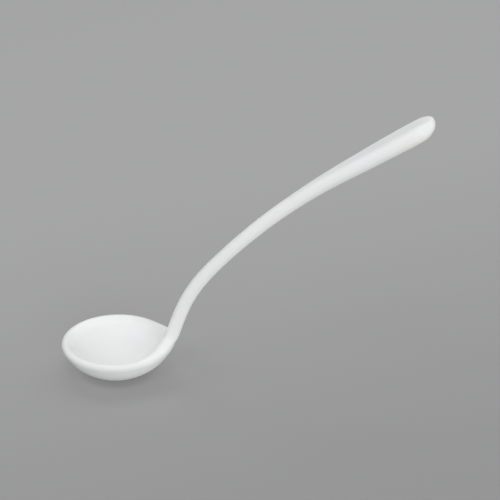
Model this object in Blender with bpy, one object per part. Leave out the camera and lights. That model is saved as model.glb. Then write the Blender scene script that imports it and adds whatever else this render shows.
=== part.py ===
# Serving ladle of glazed porcelain: a round bowl with a ground foot, a lug drawn out of its lip,
# and a bowed handle joined to the lug by a layer of slip.
# Metres, +Z up. The origin is the middle of the foot, and the handle leaves along +X.

from math import asin, atan2, cos, pi, radians, sin

import bmesh
import bpy
import numpy as np
from mathutils import Vector

MM = 0.001

# Bowl: the lip is a round roll, its height is that of its middle, and it turns in under the middle
RIM_DIAMETER = 60.0 * MM
LIP_HEIGHT = 16.2 * MM
LIP_THICKNESS = 4.0 * MM
LIP_TURN = radians(26.0)
FOOT_DIAMETER = 20.0 * MM
FLOOR = 3.0 * MM

# Lug, where the lip and the wall are drawn out and up towards the handle
LUG_OUTWARD = 3.5 * MM
LUG_INWARD = 0.4 * MM
LUG_RISE = 4.3 * MM
LUG_SPREAD = radians(48.0)

# Centre line of the handle: a straight neck, a shoulder, a long bow, then straight to the end
NECK_SET_OUT = 0.8 * MM
NECK_ANGLE = radians(71.0)
NECK_LENGTH = 22.0 * MM
SHOULDER_RADIUS = 95.0 * MM
SHOULDER_TURN = radians(20.6)
BOW_RADIUS = 356.0 * MM
BOW_TURN = radians(16.0)
HANDLE_LENGTH = 211.4 * MM

# Sections of the handle, from the root at the lug to the flat grip and its rounded nose
ROOT_HEIGHT = 6.9 * MM
ROOT_WIDTH = 8.0 * MM
NECK_DIAMETER = 7.2 * MM
WAIST_HEIGHT = 72.0 * MM
WAIST_DIAMETER = 6.8 * MM
SHAFT_DIAMETER = 7.3 * MM
GRIP_LENGTH = 102.0 * MM
GRIP_WIDTH = 18.7 * MM
GRIP_THICKNESS = 9.3 * MM
GRIP_EASE = 1.6
GRIP_FULLNESS = 2.1
FLAT_SHOULDER = 1.25
NOSE_LENGTH = 10.7 * MM
NOSE_LIFT = 2.1 * MM
NOSE_FULLNESS = 2.2
NOSE_END = 0.12 * MM

# Joint between the lug and the handle, measured along the neck from the height of the lip
SEAM_HEIGHT = 13.0 * MM
SLIP_THICKNESS = 0.8 * MM
JOINT_GAP = 0.3 * MM

# Control cage: how many points go round and along it, and where its rings lie on the wall
SECTORS = 16
WALL_STEPS = (0.12, 0.36, 0.57, 0.75, 0.88, 1.0)
CROWN_ANGLE = radians(50.0)
SECTION_ANGLES = [radians(angle) for angle in (150, 90, 30, -30, -90, -150)]
SHAFT_LOOPS = 9
SHAFT_CROWDING = 1.25
GRIP_LOOPS = 9
GRIP_CROWDING = 2.0
CROWN_RING = len(WALL_STEPS)
FITTING_ROUNDS = 40
SMOOTH_LEVELS = 2

# Looks: the white of the glazed pieces and the bare clay of the layer in the joint
GLAZED_WHITE = (0.76, 0.79, 0.78, 1.0)
BARE_CLAY = (0.72, 0.71, 0.67, 1.0)
GLAZED_ROUGHNESS = 0.12
BARE_ROUGHNESS = 0.7


def swell(count):
    """How far out a loop of this many cage points stands from the smooth round it makes."""
    return 3 / (2 + cos(2 * pi / count))


def cage_through(points, mirrored):
    """Cage points whose smooth curve passes through the given points."""
    cage = points.copy()
    for _ in range(FITTING_ROUNDS):
        if mirrored:
            before, after = cage[:1] * (-1, 1), cage[-1:] * (-1, 1)
        else:
            before, after = 2 * cage[:1] - cage[1:2], 2 * cage[-1:] - cage[-2:-1]
        padded = np.vstack([before, cage, after])
        cage += points - (padded[:-2] + 4 * padded[1:-1] + padded[2:]) / 6
    return cage


def wall_arc(centre, radius, low, high, steps):
    """Points up one face of the wall, between two angles measured from straight down."""
    angles = [low + (high - low) * step for step in steps]
    return [(centre[0] + radius * sin(angle), centre[1] - radius * cos(angle)) for angle in angles]


def outer_face():
    """Outside of the wall: an arc through the edge of the foot that runs smoothly into the lip."""
    foot = FOOT_DIAMETER / 2
    roll = LIP_THICKNESS / 2
    top = RIM_DIAMETER / 2 - roll + roll * cos(LIP_TURN)
    rise = LIP_HEIGHT - roll * sin(LIP_TURN)
    run = top - foot
    radius = (run**2 + rise**2) / 2 / (run * cos(LIP_TURN) - rise * sin(LIP_TURN))
    centre = (top - radius * cos(LIP_TURN), rise + radius * sin(LIP_TURN))
    return wall_arc(centre, radius, asin(-centre[0] / radius), pi / 2 - LIP_TURN, WALL_STEPS)


def inner_face():
    """Inside of the wall: an arc from the middle of the floor that runs smoothly into the lip."""
    roll = LIP_THICKNESS / 2
    middle = RIM_DIAMETER / 2 - roll
    centre = (middle**2 + LIP_HEIGHT**2 - (roll - FLOOR) ** 2) / (2 * (LIP_HEIGHT + roll - FLOOR))
    sweep = atan2(middle, centre - LIP_HEIGHT)
    return wall_arc((0.0, centre), centre - FLOOR, 0.0, sweep, WALL_STEPS[:-1])


def bowl_profile():
    """Radius and height of each ring, up the outside, over the lip and down the inside."""
    roll = LIP_THICKNESS / 2
    middle = RIM_DIAMETER / 2 - roll
    side = roll * cos(CROWN_ANGLE)
    crown = LIP_HEIGHT + roll * sin(CROWN_ANGLE)
    lip = [(middle + side, crown), (middle - side, crown)]
    return np.array(outer_face() + lip + inner_face()[::-1])


def lug_share(angle):
    """Share of the lug at an angle round the bowl: whole at the handle, none past its spread."""
    return max(0.0, 1 - (abs(angle) / LUG_SPREAD) ** 3) ** 2


def bowl_rings():
    """Cage rings of the bowl, with the lug drawn out most at the lip."""
    rings = []
    for index, (radius, height) in enumerate(cage_through(bowl_profile(), mirrored=True)):
        lift = min(max(height / LIP_HEIGHT, 0.0), 1.0)
        outside = index <= CROWN_RING
        pull = LUG_OUTWARD * lift if outside else -LUG_INWARD * lift**4
        ring = []
        for sector in range(SECTORS):
            angle = 2 * pi * sector / SECTORS
            share = lug_share(min(angle, 2 * pi - angle))
            reach = radius * swell(SECTORS) + pull * share
            rise = LUG_RISE * lift**2 * share
            ring.append((reach * cos(angle), reach * sin(angle), height + rise))
        rings.append(ring)
    return rings


def centre_line(distance):
    """X, Z and slope of the handle's centre line at a distance from the height of the lip."""
    x = RIM_DIAMETER / 2 - LIP_THICKNESS / 2 + NECK_SET_OUT
    z = LIP_HEIGHT
    slope = NECK_ANGLE
    stretches = (
        (NECK_LENGTH, 0.0),
        (SHOULDER_RADIUS * SHOULDER_TURN, SHOULDER_TURN),
        (BOW_RADIUS * BOW_TURN, BOW_TURN),
        (HANDLE_LENGTH, 0.0),
    )
    for length, turn in stretches:
        run = min(distance, length)
        half_bend = turn * run / length / 2
        chord = run * sin(half_bend) / half_bend if half_bend else run
        x += chord * cos(slope - half_bend)
        z += chord * sin(slope - half_bend)
        slope -= 2 * half_bend
        distance -= run
    return x, z, slope


def handle_stations():
    """Distances along the centre line of the cage loops, closest together at the root and nose."""
    grip = HANDLE_LENGTH - GRIP_LENGTH
    shaft_shares = [(loop / SHAFT_LOOPS) ** SHAFT_CROWDING for loop in range(SHAFT_LOOPS)]
    grip_shares = [(1 - loop / GRIP_LOOPS) ** GRIP_CROWDING for loop in range(GRIP_LOOPS)]
    shaft = [ROOT_HEIGHT + (grip - ROOT_HEIGHT) * share for share in shaft_shares]
    swelling = [HANDLE_LENGTH - GRIP_LENGTH * share for share in grip_shares]
    return shaft + swelling + [HANDLE_LENGTH - NOSE_END]


def grip_growth(distance):
    """Share of the grip's full size and flatness reached at a distance along the handle."""
    grip = HANDLE_LENGTH - GRIP_LENGTH
    along = min(max((distance - grip) / (GRIP_LENGTH - NOSE_LENGTH), 0.0), 1.0)
    return 1 - (1 - along**GRIP_EASE) ** GRIP_FULLNESS


def handle_section(distance):
    """Width, thickness and upward shift of the handle's section at a distance along it."""
    grown = grip_growth(distance)
    left = min((HANDLE_LENGTH - distance) / NOSE_LENGTH, 1.0)
    nose = (1 - (1 - left) ** NOSE_FULLNESS) ** (1 / NOSE_FULLNESS)
    heights = (ROOT_HEIGHT, WAIST_HEIGHT, HANDLE_LENGTH - GRIP_LENGTH)
    shaft = float(np.interp(distance, heights, (NECK_DIAMETER, WAIST_DIAMETER, SHAFT_DIAMETER)))
    width = shaft + (GRIP_WIDTH - shaft) * grown
    thickness = shaft + (GRIP_THICKNESS - shaft) * grown
    if distance <= ROOT_HEIGHT:
        width = ROOT_WIDTH
    return width * nose, thickness * nose, NOSE_LIFT * (1 - nose)


def section_points(flatness):
    """Cage points round a section of half width and half thickness 1, its top round or flat."""
    stand_out = swell(len(SECTION_ANGLES))
    sides = [stand_out * cos(angle) for angle in SECTION_ANGLES]
    heights = [stand_out * sin(angle) for angle in SECTION_ANGLES]
    shoulder = heights[0] + (FLAT_SHOULDER - heights[0]) * flatness
    # The middle sinks as the shoulders rise, so the smooth top keeps its height.
    heights[:3] = [shoulder, (3 - shoulder) / 2, shoulder]
    return zip(sides, heights)


def handle_loops():
    """Cage loops of the handle, each square to the centre line."""
    stations = handle_stations()
    wanted = np.array([centre_line(station)[:2] + handle_section(station) for station in stations])
    loops = []
    for station, row in zip(stations, cage_through(wanted, mirrored=False)):
        x, z, width, thickness, shift = row
        slope = centre_line(station)[2]
        loop = []
        for side, height in section_points(grip_growth(station)):
            up = thickness / 2 * height + shift
            loop.append((x - up * sin(slope), width / 2 * side, z + up * cos(slope)))
        loops.append(loop)
    return loops


def ladle_cage():
    """One cage for the whole ladle, so the lip and the wall flow into the neck without a break."""
    shape = bmesh.new()
    rings = [[shape.verts.new(point) for point in ring] for ring in bowl_rings()]
    shape.faces.new(rings[0][::-1])
    shape.faces.new(rings[-1])
    for index, (lower, upper) in enumerate(zip(rings, rings[1:])):
        for sector in range(SECTORS):
            # The two faces on top of the lip that stay open are where the neck grows out.
            if index == CROWN_RING and sector in (0, SECTORS - 1):
                continue
            left, right = sector, (sector + 1) % SECTORS
            shape.faces.new((lower[left], lower[right], upper[right], upper[left]))
    lip_out, lip_in = rings[CROWN_RING], rings[CROWN_RING + 1]
    previous = [lip_in[-1], lip_in[0], lip_in[1], lip_out[1], lip_out[0], lip_out[-1]]
    for points in handle_loops():
        loop = [shape.verts.new(point) for point in points]
        for near in range(len(loop)):
            far = (near + 1) % len(loop)
            shape.faces.new((loop[near], loop[far], previous[far], previous[near]))
        previous = loop
    shape.faces.new([previous[corner] for corner in (5, 4, 1, 0)])
    shape.faces.new([previous[corner] for corner in (4, 3, 2, 1)])
    for face in shape.faces:
        face.smooth = True
    mesh = bpy.data.meshes.new("ladle_cage")
    shape.to_mesh(mesh)
    shape.free()
    return mesh


def add_object(name, data):
    thing = bpy.data.objects.new(name, data)
    bpy.context.collection.objects.link(thing)
    return thing


def add_cutter(name, point, direction, parent):
    """A block that takes away everything on one side of a plane."""
    size = 2 * (HANDLE_LENGTH + RIM_DIAMETER)
    shape = bmesh.new()
    bmesh.ops.create_cube(shape, size=size)
    bmesh.ops.translate(shape, verts=shape.verts, vec=(0, 0, size / 2))
    mesh = bpy.data.meshes.new(name)
    shape.to_mesh(mesh)
    shape.free()
    cutter = add_object(name, mesh)
    cutter.parent = parent
    cutter.location = point
    cutter.rotation_euler = direction.to_track_quat('Z', 'Y').to_euler()
    cutter.hide_render = True
    cutter.display_type = 'WIRE'
    return cutter


def add_material(name, colour, roughness):
    material = bpy.data.materials.new(name)
    material.use_nodes = True
    surface = material.node_tree.nodes["Principled BSDF"]
    surface.inputs["Base Color"].default_value = colour
    surface.inputs["Roughness"].default_value = roughness
    surface.inputs["Metallic"].default_value = 0.0
    material.diffuse_color = colour
    return material


def add_piece(name, cage, material, cutters, parent):
    """One piece of the ladle: the smooth form less what its cutters take away."""
    mesh = cage.copy()
    mesh.name = name
    mesh.materials.append(material)
    piece = add_object(name, mesh)
    piece.parent = parent
    smooth = piece.modifiers.new("smooth_form", 'SUBSURF')
    smooth.levels = SMOOTH_LEVELS
    smooth.render_levels = SMOOTH_LEVELS
    for cutter in cutters:
        cut = piece.modifiers.new(cutter.name, 'BOOLEAN')
        cut.operation = 'DIFFERENCE'
        cut.solver = 'EXACT'
        cut.object = cutter
    return piece


def build():
    for thing in list(bpy.data.objects):
        bpy.data.objects.remove(thing, do_unlink=True)

    ladle = add_object("ladle", None)
    cage = ladle_cage()

    # Planes of the joint, square to the neck, and of the ground foot
    x, z, slope = centre_line(SEAM_HEIGHT)
    seam = Vector((x, 0, z))
    upward = Vector((cos(slope), 0, sin(slope)))
    slip_reach = upward * SLIP_THICKNESS / 2
    clear_reach = slip_reach + upward * JOINT_GAP
    above_lug = add_cutter("above_lug", seam - clear_reach, upward, ladle)
    below_slip = add_cutter("below_slip", seam - slip_reach, -upward, ladle)
    above_slip = add_cutter("above_slip", seam + slip_reach, upward, ladle)
    below_handle = add_cutter("below_handle", seam + clear_reach, -upward, ladle)
    ground = add_cutter("ground", Vector((0, 0, 0)), Vector((0, 0, -1)), ladle)

    bowl_clay = add_material("bowl_porcelain", GLAZED_WHITE, GLAZED_ROUGHNESS)
    handle_clay = add_material("handle_porcelain", GLAZED_WHITE, GLAZED_ROUGHNESS)
    slip_clay = add_material("slip_porcelain", BARE_CLAY, BARE_ROUGHNESS)
    add_piece("bowl", cage, bowl_clay, [above_lug, ground], ladle)
    add_piece("handle", cage, handle_clay, [below_handle], ladle)
    add_piece("luting_slip", cage, slip_clay, [below_slip, above_slip], ladle)
    bpy.data.meshes.remove(cage)


build()
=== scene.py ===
from math import cos, pi, radians, sin

import bmesh
import bpy
import numpy as np
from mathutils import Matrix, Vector


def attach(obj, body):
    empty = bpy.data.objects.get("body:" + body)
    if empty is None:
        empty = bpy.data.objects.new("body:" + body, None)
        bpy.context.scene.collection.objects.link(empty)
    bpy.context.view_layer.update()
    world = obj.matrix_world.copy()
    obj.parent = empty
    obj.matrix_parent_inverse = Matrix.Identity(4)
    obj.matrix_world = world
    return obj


MM = 0.001

# Lip of the bowl: the height and the radius of the middle of its round roll
LIP_HEIGHT = 16.2 * MM
LIP_RADIUS = 28.0 * MM

# Skin of glaze: it stands just off the clay, is thick outward and ends a little above the table
GLAZE_CLEARANCE = 0.14 * MM
GLAZE_THICKNESS = 0.1 * MM
GLAZE_LINE = 0.5 * MM
GLAZE_LEVELS = 1
OUTWARD = 1.0

# Joint under the skin: how far round the layer of slip the form is cut away and closed over, and
# how far and how often the corner round it is then filled
SEAM_MARGIN = 0.4 * MM
SEAM_RADII = 2
POOL_REACH = 8 * MM
POOL_ROUNDS = 12

# Faces of the frame: points this close are one, and triangles within these angles join in pairs
WELD_DISTANCE = 0.001 * MM
QUAD_FACE_ANGLE = radians(40)
QUAD_SHAPE_ANGLE = radians(80)

# Noise: the range that most of its values lie in, and how many finer layers each kind has
NOISE_LOW = 0.3
NOISE_HIGH = 0.7
SMOOTH_NOISE = 2
CLOUDY_NOISE = 3
GRAINY_NOISE = 4

# Glaze: clouds of warmer and cooler white, painted shade that greys it over the lip's roll, a soft
# uneven gloss under a clear surface, and faint ripples
GLAZE_WARM = (0.86, 0.865, 0.85, 1.0)
GLAZE_COOL = (0.845, 0.865, 0.86, 1.0)
GLAZE_CLOUD = 25 * MM
# Painted shade over the lip: how grey the glaze gets, the reach it is fully grey within and the reach
# where it fades out
LIP_SHADE_TONE = 0.9
LIP_SHADE_FULL_REACH = 1.0 * MM
LIP_SHADE_END_REACH = 3.5 * MM
GLAZE_SHINE = 0.05
GLAZE_COAT = 0.1
COAT_ROUGHNESS = 0.06
GLAZE_ROUGHNESS = (0.30, 0.40)
GLAZE_STREAK = 9 * MM
GLAZE_RIPPLE = 6 * MM
GLAZE_RIPPLE_DEPTH = 0.015 * MM

# Bare clay: grains, and on the foot the rings left by the grinding wheel, drawn by a wave texture
# that repeats every WAVE_LENGTH metres at a scale of 1
CLAY_DARK = (0.62, 0.60, 0.55, 1.0)
CLAY_PALE = (0.74, 0.72, 0.67, 1.0)
SLIP_DARK = (0.55, 0.53, 0.49, 1.0)
SLIP_PALE = (0.66, 0.64, 0.60, 1.0)
CLAY_GRAIN = 0.7 * MM
CLAY_BLOTCH = 5 * MM
CLAY_ROUGHNESS = (0.65, 0.85)
CLAY_DEPTH = 0.03 * MM
GRIND_SPACING = 0.6 * MM
GRIND_WANDER = 1.5
GRIND_DEPTH = 0.01 * MM
WAVE_LENGTH = pi / 10

# Floor: a sheet of paper whose tone and painted glow grow lighter away from the camera and to the
# left, a painted fall of light, and whose glow is dimmed into a painted contact shadow where the
# bowl stands close over it
FLOOR_SIZE = 8.0
FLOOR_TURN = radians(23)
FLOOR_NEAR = -250 * MM
FLOOR_FAR = 250 * MM
FLOOR_NEAR_PAINTED_TONE = (0.126, 0.126, 0.126, 1.0)
FLOOR_FAR_PAINTED_TONE = (0.16, 0.16, 0.16, 1.0)
FLOOR_PAINTED_GLOW = 1.4
CONTACT_SHADOW_GLOW = 1.0
CONTACT_SHADOW_REACH = 5 * MM
PAPER_FIBRE = 1.5 * MM
PAPER_DEPTH = 0.05 * MM
PAPER_ROUGHNESS = 0.9
PAPER_SHINE = 0.1

# Light: a dim even surround and a few large panels, each given by its azimuth and elevation
# seen from the ladle, its width and height in metres and its power in watts
SURROUND = (0.17, 0.175, 0.18, 1.0)
PANEL_DISTANCE = 1.5
PANELS = {
    "front": (radians(23), radians(15), 1.4, 0.7, 14.5),
    "low_right": (radians(103), radians(5), 1.25, 0.24, 5.0),
    "left": (radians(-77), radians(40), 1.0, 0.8, 6.2),
    "back_right": (radians(148), radians(40), 1.0, 0.8, 4.8),
    "top_back": (radians(193), radians(65), 1.0, 0.8, 6.8),
    "window": (radians(13.5), radians(61), 0.23, 0.46, 2.4),
}

# Camera: its angles and its distance from the middle of the lip, how far that middle lies left of
# and below the middle of the picture, and the angle of its view
CAMERA_AZIMUTH = radians(12.37)
CAMERA_ELEVATION = radians(27.34)
CAMERA_DISTANCE = 1216.2 * MM
LIP_LEFT = 73.9 * MM
LIP_BELOW = 51.4 * MM
VIEW_ANGLE = radians(12.97)

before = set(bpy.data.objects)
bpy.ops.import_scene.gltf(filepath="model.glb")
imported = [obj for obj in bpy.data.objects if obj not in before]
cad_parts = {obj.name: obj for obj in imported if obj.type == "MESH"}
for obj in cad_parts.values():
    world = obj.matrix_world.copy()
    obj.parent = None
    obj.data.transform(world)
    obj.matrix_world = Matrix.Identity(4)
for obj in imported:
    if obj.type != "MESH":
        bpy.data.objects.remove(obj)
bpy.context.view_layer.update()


def feed(material, node, **inputs):
    """Gives a node its inputs, each a value or another node's output. A name has _ for a space."""
    for name, source in inputs.items():
        socket = node.inputs[name.replace("_", " ")]
        if isinstance(source, bpy.types.NodeSocket):
            material.node_tree.links.new(source, socket)
        else:
            socket.default_value = source


def add_node(material, kind, **inputs):
    node = material.node_tree.nodes.new(kind)
    feed(material, node, **inputs)
    return node


def new_material(name):
    """A node material and its surface shader."""
    material = bpy.data.materials.new(name)
    material.use_nodes = True
    return material, material.node_tree.nodes["Principled BSDF"]


def place(material):
    """Where a point lies on its object, in metres."""
    return add_node(material, 'ShaderNodeTexCoord').outputs["Object"]


def noise(material, size, detail):
    """Random patches about as wide as the given size."""
    return add_node(
        material, 'ShaderNodeTexNoise', Vector=place(material), Scale=1 / size, Detail=detail
    ).outputs["Fac"]


def spread(material, pattern, low, high):
    """A number that follows a noise pattern from low to high."""
    return add_node(
        material,
        'ShaderNodeMapRange',
        Value=pattern,
        From_Min=NOISE_LOW,
        From_Max=NOISE_HIGH,
        To_Min=low,
        To_Max=high,
    ).outputs["Result"]


def blend(material, share, first, second, start=NOISE_LOW, end=NOISE_HIGH):
    """A colour that runs from the first to the second as the share goes from start to end."""
    ramp = add_node(material, 'ShaderNodeValToRGB', Fac=share)
    low, high = ramp.color_ramp.elements
    low.position = start
    low.color = first
    high.position = end
    high.color = second
    return ramp.outputs["Color"]


def lip_distance(material):
    """How far a point lies from the middle of the lip's roll, in metres."""
    point = place(material)
    without_height = (1.0, 1.0, 0.0)
    level = add_node(material, 'ShaderNodeVectorMath')
    level.operation = 'MULTIPLY'
    material.node_tree.links.new(point, level.inputs[0])
    level.inputs[1].default_value = without_height
    radius = add_node(material, 'ShaderNodeVectorMath', Vector=level.outputs["Vector"])
    radius.operation = 'LENGTH'
    height = add_node(material, 'ShaderNodeSeparateXYZ', Vector=point).outputs["Z"]
    section = add_node(material, 'ShaderNodeCombineXYZ', X=radius.outputs["Value"], Z=height)
    gap = add_node(material, 'ShaderNodeVectorMath', Vector=section.outputs["Vector"])
    gap.operation = 'DISTANCE'
    gap.inputs[1].default_value = (LIP_RADIUS, 0.0, LIP_HEIGHT)
    return gap.outputs["Value"]


def glaze_material():
    """White glaze, with painted shade greying it over the lip's roll."""
    material, surface = new_material("white_glaze")
    clouds = blend(material, noise(material, GLAZE_CLOUD, CLOUDY_NOISE), GLAZE_WARM, GLAZE_COOL)
    # Painted shade: the glaze colour is darkened towards the middle of the lip's roll
    lip_shade = add_node(
        material,
        'ShaderNodeMapRange',
        Value=lip_distance(material),
        From_Min=LIP_SHADE_FULL_REACH,
        From_Max=LIP_SHADE_END_REACH,
        To_Min=LIP_SHADE_TONE,
        To_Max=1.0,
    )
    lip_shade.interpolation_type = 'SMOOTHSTEP'
    shaded_white = add_node(
        material, 'ShaderNodeHueSaturation', Color=clouds, Value=lip_shade.outputs["Result"]
    ).outputs["Color"]
    streaks = noise(material, GLAZE_STREAK, GRAINY_NOISE)
    ripple = add_node(
        material,
        'ShaderNodeBump',
        Height=noise(material, GLAZE_RIPPLE, SMOOTH_NOISE),
        Distance=GLAZE_RIPPLE_DEPTH,
    )
    feed(
        material,
        surface,
        Base_Color=shaded_white,
        Roughness=spread(material, streaks, *GLAZE_ROUGHNESS),
        Normal=ripple.outputs["Normal"],
    )
    surface.inputs["Specular IOR Level"].default_value = GLAZE_SHINE
    surface.inputs["Coat Weight"].default_value = GLAZE_COAT
    surface.inputs["Coat Roughness"].default_value = COAT_ROUGHNESS
    return material


def clay_material(name, dark, pale):
    """Bare fired clay, matt and grainy, and its surface shader."""
    material, surface = new_material(name)
    grain = noise(material, CLAY_GRAIN, GRAINY_NOISE)
    blotches = noise(material, CLAY_BLOTCH, CLOUDY_NOISE)
    pits = add_node(material, 'ShaderNodeBump', Height=grain, Distance=CLAY_DEPTH)
    feed(
        material,
        surface,
        Base_Color=blend(material, grain, dark, pale),
        Roughness=spread(material, blotches, *CLAY_ROUGHNESS),
        Normal=pits.outputs["Normal"],
    )
    return material, surface


def bowl_clay_material():
    """Clay of the bowl, with the rings of the wheel that ground its foot."""
    material, surface = clay_material("bowl_clay", CLAY_DARK, CLAY_PALE)
    rings = add_node(
        material,
        'ShaderNodeTexWave',
        Vector=place(material),
        Scale=WAVE_LENGTH / GRIND_SPACING,
        Distortion=GRIND_WANDER,
    )
    rings.wave_type = 'RINGS'
    rings.rings_direction = 'Z'
    grooves = add_node(
        material,
        'ShaderNodeBump',
        Height=rings.outputs["Fac"],
        Distance=GRIND_DEPTH,
        Normal=surface.inputs["Normal"].links[0].from_socket,
    )
    feed(material, surface, Normal=grooves.outputs["Normal"])
    return material


def handle_clay_material():
    return clay_material("handle_clay", CLAY_DARK, CLAY_PALE)[0]


def slip_clay_material():
    """Clay of the layer in the joint, darker than the pieces it joins."""
    return clay_material("slip_clay", SLIP_DARK, SLIP_PALE)[0]


def floor_material():
    """Pale paper with fine fibres, a painted glow and fall of light, and a painted contact shadow under
    the bowl.
    """
    material, surface = new_material("floor_paper")
    # Painted fall of light: the tone, which is also the colour of the glow, grows lighter away from the
    # camera
    away = add_node(material, 'ShaderNodeSeparateXYZ', Vector=place(material)).outputs["Y"]
    share = add_node(
        material, 'ShaderNodeMapRange', Value=away, From_Min=FLOOR_NEAR, From_Max=FLOOR_FAR
    )
    share.interpolation_type = 'SMOOTHSTEP'
    painted_tone = blend(material, share.outputs["Result"], FLOOR_NEAR_PAINTED_TONE, FLOOR_FAR_PAINTED_TONE, start=0.0, end=1.0)
    fibres = add_node(
        material,
        'ShaderNodeBump',
        Height=noise(material, PAPER_FIBRE, GRAINY_NOISE),
        Distance=PAPER_DEPTH,
    )
    # Painted contact shadow: the glow is dimmed where the bowl stands within the reach above the paper
    contact_shade = add_node(material, 'ShaderNodeAmbientOcclusion', Distance=CONTACT_SHADOW_REACH).outputs["AO"]
    painted_glow = add_node(
        material, 'ShaderNodeMapRange', Value=contact_shade, To_Min=CONTACT_SHADOW_GLOW, To_Max=FLOOR_PAINTED_GLOW
    ).outputs["Result"]
    feed(
        material,
        surface,
        Base_Color=painted_tone,
        Emission_Color=painted_tone,
        Emission_Strength=painted_glow,
        Normal=fibres.outputs["Normal"],
    )
    surface.inputs["Roughness"].default_value = PAPER_ROUGHNESS
    surface.inputs["Specular IOR Level"].default_value = PAPER_SHINE
    return material


def add_object(name, data):
    thing = bpy.data.objects.new(name, data)
    bpy.context.collection.objects.link(thing)
    return thing


def seam_plane():
    """Middle, direction, half thickness and radius of the layer of slip in the joint."""
    slip = np.array([vertex.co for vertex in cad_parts["luting_slip"].data.vertices])
    middle = (slip.min(axis=0) + slip.max(axis=0)) / 2
    # The last of its main directions is the one in which the layer is thinnest.
    direction = np.linalg.svd(slip - middle)[2][-1]
    reach = np.abs((slip - middle) @ direction).max()
    radius = np.linalg.norm(slip - middle, axis=1).max()
    return Vector(middle), Vector(direction), reach, radius


def joined_form():
    """The bowl and the handle as one form of four-sided faces, closed over the joint."""
    shape = bmesh.new()
    for name in ("bowl", "handle"):
        shape.from_mesh(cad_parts[name].data)
    bmesh.ops.remove_doubles(shape, verts=shape.verts, dist=WELD_DISTANCE)
    middle, direction, reach, radius = seam_plane()
    cut = []
    for vertex in shape.verts:
        offset = vertex.co - middle
        in_layer = abs(offset.dot(direction)) < reach + SEAM_MARGIN
        if in_layer and offset.length < SEAM_RADII * radius:
            cut.append(vertex)
    bmesh.ops.delete(shape, geom=cut, context='VERTS')
    bmesh.ops.bridge_loops(shape, edges=[edge for edge in shape.edges if edge.is_boundary])
    below = [vertex for vertex in shape.verts if vertex.co.z < GLAZE_LINE]
    bmesh.ops.delete(shape, geom=below, context='VERTS')
    bmesh.ops.join_triangles(
        shape,
        faces=shape.faces,
        angle_face_threshold=QUAD_FACE_ANGLE,
        angle_shape_threshold=QUAD_SHAPE_ANGLE,
    )
    bmesh.ops.recalc_face_normals(shape, faces=shape.faces)
    return shape


def pool_glaze(shape):
    """Fills the sharp corner round the joint, where glaze runs together, and thins it nowhere."""
    middle = seam_plane()[0]
    near = [vertex for vertex in shape.verts if (vertex.co - middle).length < POOL_REACH]
    for _ in range(POOL_ROUNDS):
        shape.normal_update()
        rises = []
        for vertex in near:
            around = [edge.other_vert(vertex).co for edge in vertex.link_edges]
            hollow = sum(around, Vector()) / len(around) - vertex.co
            rises.append(vertex.normal * max(hollow.dot(vertex.normal), 0))
        for vertex, rise in zip(near, rises):
            vertex.co += rise


def add_glaze():
    """One thin skin of glaze over the bowl, the joint and the handle, open at the foot."""
    shape = joined_form()
    pool_glaze(shape)
    shape.normal_update()
    for vertex in shape.verts:
        vertex.co += vertex.normal * GLAZE_CLEARANCE
    for face in shape.faces:
        face.smooth = True
    mesh = bpy.data.meshes.new("glaze")
    shape.to_mesh(mesh)
    shape.free()
    mesh.materials.append(glaze_material())
    glaze = add_object("glaze", mesh)
    smooth = glaze.modifiers.new("smooth", 'SUBSURF')
    smooth.levels = GLAZE_LEVELS
    smooth.render_levels = GLAZE_LEVELS
    skin = glaze.modifiers.new("skin", 'SOLIDIFY')
    skin.thickness = GLAZE_THICKNESS
    skin.offset = OUTWARD
    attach(glaze, "root")


def bare_clay():
    """Gives the pieces of the frame their clay."""
    clays = {
        "bowl": bowl_clay_material(),
        "handle": handle_clay_material(),
        "luting_slip": slip_clay_material(),
    }
    for name, clay in clays.items():
        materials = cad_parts[name].data.materials
        materials.clear()
        materials.append(clay)


def add_floor():
    shape = bmesh.new()
    bmesh.ops.create_grid(shape, x_segments=1, y_segments=1, size=FLOOR_SIZE / 2)
    mesh = bpy.data.meshes.new("floor")
    shape.to_mesh(mesh)
    shape.free()
    mesh.materials.append(floor_material())
    floor = add_object("floor", mesh)
    floor.rotation_euler.z = CAMERA_AZIMUTH + FLOOR_TURN


def toward(azimuth, elevation):
    """Direction from the ladle towards something seen at an azimuth and an elevation."""
    return Vector((sin(azimuth) * cos(elevation), -cos(azimuth) * cos(elevation), sin(elevation)))


def add_light():
    """The surround, the panels, and colours shown as they are lit."""
    world = bpy.data.worlds.new("studio")
    bpy.context.scene.world = world
    world.use_nodes = True
    world.node_tree.nodes["Background"].inputs["Color"].default_value = SURROUND
    for name, (azimuth, elevation, width, height, power) in PANELS.items():
        panel = bpy.data.lights.new(name, 'AREA')
        panel.shape = 'RECTANGLE'
        panel.size = width
        panel.size_y = height
        panel.energy = power
        lamp = add_object(name, panel)
        direction = toward(azimuth, elevation)
        lamp.location = direction * PANEL_DISTANCE
        lamp.rotation_euler = direction.to_track_quat('Z', 'Y').to_euler()
    bpy.context.scene.view_settings.view_transform = 'Standard'


def add_camera():
    back = toward(CAMERA_AZIMUTH, CAMERA_ELEVATION)
    right = Vector((cos(CAMERA_AZIMUTH), sin(CAMERA_AZIMUTH), 0))
    up = back.cross(right)
    lens = bpy.data.cameras.new("camera")
    lens.angle = VIEW_ANGLE
    camera = add_object("camera", lens)
    lip = Vector((0, 0, LIP_HEIGHT))
    camera.location = lip + right * LIP_LEFT + up * LIP_BELOW + back * CAMERA_DISTANCE
    camera.rotation_euler = back.to_track_quat('Z', 'Y').to_euler()
    bpy.context.scene.camera = camera


bare_clay()
add_glaze()
add_floor()
add_light()
add_camera()
